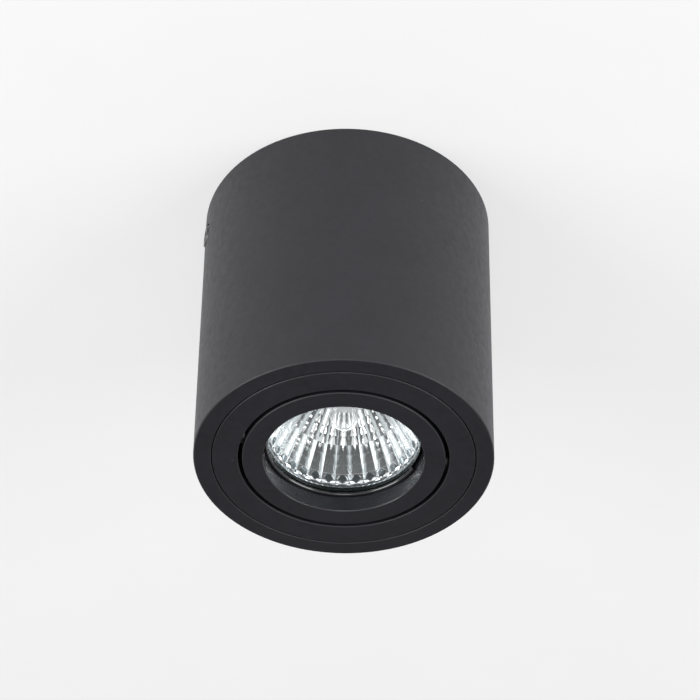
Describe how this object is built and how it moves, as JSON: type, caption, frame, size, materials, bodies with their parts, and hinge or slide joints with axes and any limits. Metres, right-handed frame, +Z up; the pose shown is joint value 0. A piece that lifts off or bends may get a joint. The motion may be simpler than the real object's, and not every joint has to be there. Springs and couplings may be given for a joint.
{
  "type": "ceiling spotlight",
  "caption": "Surface mounted cylinder ceiling spotlight: a matt black tube housing on a screwed bracket, with a turning trim ring and a tilting ring that holds a twist-lock reflector lamp.",
  "frame": {"origin": "middle of the ceiling plane, where the housing's rim and the bracket meet the ceiling", "axes": "+Z up into the ceiling, X through the two side screws and the tilt pivot, Y across them; the light leaves along -Z"},
  "size_m": [0.0968, 0.096, 0.102],
  "materials": {
    "black_powder_coat": "matte",
    "black_spring_wire": "satin",
    "dark_screw_steel": "satin",
    "galvanised_sheet": "satin",
    "black_rubber": "matte",
    "white_polyamide": "satin",
    "brass": "satin",
    "zinc_plated_steel": "satin",
    "green_yellow_insulation": "satin",
    "brown_silicone": "satin",
    "blue_silicone": "satin",
    "spring_steel": "satin",
    "aluminium_rivet": "satin",
    "quartz_glass": "polished",
    "coated_glass": "polished",
    "tungsten": "satin",
    "lamp_ceramic": "matte",
    "holder_ceramic": "satin"
  },
  "bodies": {
    "fixture": {"housing": "black_powder_coat", "side_screws": "dark_screw_steel", "ceiling_bracket": "galvanised_sheet", "bracket_tabs": "galvanised_sheet", "cable_grommet": "black_rubber", "terminal_block": "white_polyamide", "terminal_inserts": "brass", "terminal_screws": "zinc_plated_steel", "terminal_block_screw": "zinc_plated_steel", "earth_screw": "zinc_plated_steel", "earth_washer": "zinc_plated_steel", "earth_lug": "zinc_plated_steel", "earth_lead": "green_yellow_insulation", "lamp_lead_live_upper": "brown_silicone", "lamp_lead_neutral_upper": "blue_silicone"},
    "trim": {"trim_ring": "black_powder_coat", "trim_spring_far": "spring_steel", "trim_spring_near": "spring_steel", "spring_rivets": "aluminium_rivet", "pivot_pin_left": "dark_screw_steel", "pivot_pin_right": "dark_screw_steel", "friction_washers": "dark_screw_steel"},
    "gimbal": {"gimbal_ring": "black_powder_coat", "lamp_circlip": "black_spring_wire", "lamp_reflector": "coated_glass", "lamp_capsule": "quartz_glass", "lamp_filament": "tungsten", "lamp_base": "lamp_ceramic", "lamp_pins": "zinc_plated_steel", "lampholder_body": "holder_ceramic", "lampholder_cap": "holder_ceramic", "lampholder_contacts": "brass", "lampholder_screws": "zinc_plated_steel", "lamp_lead_live_lower": "brown_silicone", "lamp_lead_neutral_lower": "blue_silicone"}
  },
  "joints": [
    {"name": "trim_turn", "type": "hinge", "parent": "fixture", "child": "trim", "pos_m": [0, 0, -0.10025], "axis": [0, 0, 1], "range_deg": [-175, 175], "deforming": ["lamp_lead_live_upper", "lamp_lead_neutral_upper"]},
    {"name": "gimbal_tilt", "type": "hinge", "parent": "trim", "child": "gimbal", "pos_m": [0, 0, -0.0965], "axis": [1, 0, 0], "range_deg": [-25, 25], "deforming": ["lamp_lead_live_lower", "lamp_lead_neutral_lower"]}
  ]
}
